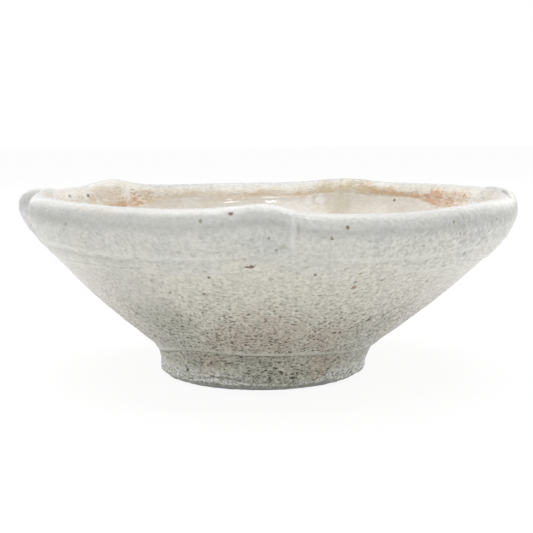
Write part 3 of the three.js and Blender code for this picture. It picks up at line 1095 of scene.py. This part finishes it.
def outer_glaze_material():
    g = Graph("outer_glaze_satin")
    drift = g.ramp(g.cloud(14, 2), 0.3, 0.7, -2.5, 2.5)
    height = g.math("ADD", g.height, drift)
    colour = glazed_ground(g, height)
    colour = with_grain(g, colour, height)
    colour = with_specks(g, colour, height)
    crest = g.attribute("past_crest")
    # Painted shade: a grey band on the outer face a few millimetres below the crest of the lip.
    under = g.product(g.ramp(crest, -7.5, -4.5), g.ramp(crest, -1.5, -3), 0.55)
    colour = g.tint(colour, under, (184, 185, 181))
    lip = g.ramp(crest, -2.8, -0.9)
    colour = g.tint(colour, lip, (212, 211, 207))
    warm = g.ramp(g.cloud(5, 3, 1, 21), 0.4, 0.62)
    cream = g.mix(warm, linear(228, 224, 215), linear(222, 214, 199))
    # Painted shade: far greys the top of the rim on the far side.
    far = g.product(g.ramp(crest, 2.6, 1.2), lip, g.ramp(g.depth, 45, 62), 0.55)
    colour = g.mix(g.ramp(crest, 0.8, 2.4), colour, cream)
    colour = g.tint(colour, far, (196, 196, 197))
    # Painted shade: both ends of the lip, left and right, are made darker.
    left = g.product(g.ramp(g.across, -42, -60, 0, -0.17), g.ramp(g.depth, -19, -25))
    right = g.product(g.ramp(g.across, 42, 60, 0, -0.1), g.ramp(g.depth, -10, -18))
    painted_shade_on_lip = g.product(g.ramp(crest, -8, -4), g.ramp(crest, 4, 2))
    colour = shaded(g, colour, g.product(g.math("ADD", left, right), painted_shade_on_lip))
    colour = with_scorch(g, colour)
    peppered = g.product(g.specks(1, 0.42, 0.6, 0.15, 1, 61), g.ramp(crest, 0.8, 2.4), 0.35)
    colour = g.tint(colour, peppered, (168, 134, 98))
    colour = with_foot_edge(g, colour)
    colour = with_relief_shading(g, colour)
    colour = with_spots(g, colour)
    ripple = g.cloud(1.1, 3, 1.4, 2)
    pits = g.specks(1.9, 0.45, 0.5, 0.2, 1.2, 17)
    relief = g.math("SUBTRACT", ripple, g.product(pits, 0.5))
    rough = g.ramp(g.cloud(3, 2, 1, 9), 0.3, 0.7, 0.32, 0.46)
    rough = g.math("ADD", rough, g.ramp(height, 34, 18, 0, 0.12))
    return g.finish(
        Base_Color=colour,
        Roughness=g.math("SUBTRACT", rough, g.product(lip, 0.1)),
        Coat_Weight=g.ramp(height, 18, 36, 0.3, 0.6),
        Coat_Roughness=0.22,
        Normal=g.bump(relief, 0.2),
    )


def inner_glaze_material():
    g = Graph("inner_glaze_glossy")
    past = g.attribute("past_line")
    soft = g.ramp(g.cloud(13, 2, 1, 4), 0.38, 0.62)
    colour = g.mix(soft, linear(216, 210, 200), linear(210, 202, 189))
    pool = g.product(g.ramp(past, 30, 62), 0.55)
    colour = g.tint(colour, pool, (198, 194, 172))
    waver = g.waver(3, 3, 1, 14)
    colour = with_patches(g, colour, INNER_PATCHES, waver)
    streaks = g.ramp(g.cloud(1.6, 3, 1.6, 8), 0.36, 0.66, 0.03, -0.06)
    colour = with_scorch(g, shaded(g, colour, streaks))
    rough = g.ramp(g.cloud(6, 2, 1, 2), 0.3, 0.7, 0.07, 0.14)
    dull = g.product(g.spot((29.5, 52.5, 44), 9, 3, waver, 2), 0.4)
    rare = g.product(g.specks(5, 0.5, 0.6, 0.2, 1, 3), 0.7)
    colour = g.tint(colour, rare, (128, 100, 74))
    return g.finish(
        Base_Color=with_spots(g, colour),
        Roughness=g.math("ADD", rough, dull),
        Normal=g.bump(g.cloud(2.6, 2, 1, 6), 0.06),
    )


def clay_material():
    g = Graph("bare_stoneware")
    colour = g.mix(g.ramp(g.cloud(6, 3), 0.3, 0.7), linear(204, 207, 209), linear(188, 192, 194))
    grains = g.specks(0.9, 0.35, 0.7, 0.15, 1, 2)
    colour = g.tint(colour, g.product(grains, 0.45), (126, 124, 118))
    chalk = g.specks(3.2, 0.5, 0.5, 0.2, 1, 12)
    colour = g.tint(colour, g.product(chalk, 0.4), (206, 204, 198))
    grit = g.cloud(0.8, 4, 1, 3)
    return g.finish(Base_Color=colour, Roughness=0.85, Normal=g.bump(grit, 0.2))


# The bowl

clay = clay_material()
for piece, node, slot, material in (
    (clay_body(), "clay_body", "fired_clay", clay),
    (foot_ring(), "foot_ring", "fired_clay", clay),
    (outer_glaze(), "outer_glaze", "outer_glaze", outer_glaze_material()),
    (inner_glaze(), "inner_glaze", "inner_glaze", inner_glaze_material()),
):
    piece.data.materials.append(material)
    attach(piece, "root")
    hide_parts(node)

# Floor, light and camera


def seen_apart(nodes, plain, seen, output):
    """Sends one shader to the output for the light itself, and another for rays from the camera or
    sent on by a shiny surface."""
    path = nodes.add("LightPath").outputs
    share = path["Is Camera Ray"]
    for ray in ("Is Glossy Ray", "Is Transmission Ray"):
        share = nodes.math("MAXIMUM", share, path[ray])
    shader = nodes.add("MixShader", {0: share, 1: plain.outputs[0], 2: seen.outputs[0]})
    nodes.add(output, {"Surface": shader.outputs[0]})


FLOOR_REACH = 6
PAPER = 0.8
SHADOWED = 0.12
GLOW = 0.9
WORLD_LIGHT = 0.64


def grey(level):
    return (level, level, level, 1)


def floor():
    """A white floor that keeps a faint shadow."""
    sides = ((-1, -1), (1, -1), (1, 1), (-1, 1))
    mesh = bpy.data.meshes.new("floor")
    mesh.from_pydata([(x * FLOOR_REACH, y * FLOOR_REACH, 0) for x, y in sides], [], [(0, 1, 2, 3)])
    nodes = Nodes(bpy.data.materials.new("white_floor"))
    paper = nodes.add("BsdfDiffuse", {"Color": grey(PAPER)})
    faint = nodes.add("BsdfDiffuse", {"Color": grey(SHADOWED)})
    glow = nodes.add("Emission", {"Color": grey(1), "Strength": GLOW})
    both = nodes.add("AddShader", {0: faint.outputs[0], 1: glow.outputs[0]})
    seen_apart(nodes, paper, both, "OutputMaterial")
    mesh.materials.append(nodes.owner)
    return linked("floor", mesh)


def white_world():
    world = bpy.data.worlds.new("studio")
    bpy.context.scene.world = world
    nodes = Nodes(world)
    light, seen = (
        nodes.add("Background", {"Color": grey(1), "Strength": level}) for level in (WORLD_LIGHT, 1)
    )
    seen_apart(nodes, light, seen, "OutputWorld")


# Lamps, as name, place, width and height, and power. The last two are mirrored in the inner glaze.
LAMPS = (
    ("overhead", (-0.1, 0.1, 0.9), (0.9, 0.7), 3.6),
    ("front", (0, -0.9, 0.5), (0.9, 0.5), 1.05),
    ("behind_left", (-0.8, 0.65, 0.5), (1, 0.7), 1.55),
    ("behind_right", (0.8, 0.65, 0.5), (1, 0.7), 1.7),
    ("glint_right", (0.187, -0.39, 0.8), (0.1, 0.08), 0.5),
    ("glint_left", (-0.08, -0.412, 0.803), (0.09, 0.07), 0.34),
)
LAMP_TARGET = (0, 0, 0.03)


def softbox(name, place, size, power):
    light = bpy.data.lights.new(name, "AREA")
    light.shape = "RECTANGLE"
    light.size, light.size_y = size
    light.energy = power
    made = linked(name, light)
    made.location = place
    made.rotation_euler = (Vector(LAMP_TARGET) - made.location).to_track_quat("-Z", "Y").to_euler()


PHOTO_SIDE = 533
FOCAL_PIXELS = 1055.0
CAMERA_PLACE = (-0.3, -320.0, 71.5)
CAMERA_PITCH = 7.1
CAMERA_ROLL = -0.29


def camera():
    data = bpy.data.cameras.new("camera")
    data.sensor_width = 36.0
    data.lens = FOCAL_PIXELS / PHOTO_SIDE * data.sensor_width
    made = linked("camera", data)
    pitch = Matrix.Rotation(math.radians(90 - CAMERA_PITCH), 4, "X")
    roll = Matrix.Rotation(math.radians(CAMERA_ROLL), 4, "Z")
    made.matrix_world = Matrix.Translation(Vector(CAMERA_PLACE) * MM) @ pitch @ roll
    bpy.context.scene.camera = made


floor()
for lamp in LAMPS:
    softbox(*lamp)
white_world()
camera()
bpy.context.scene.view_settings.view_transform = "Standard"
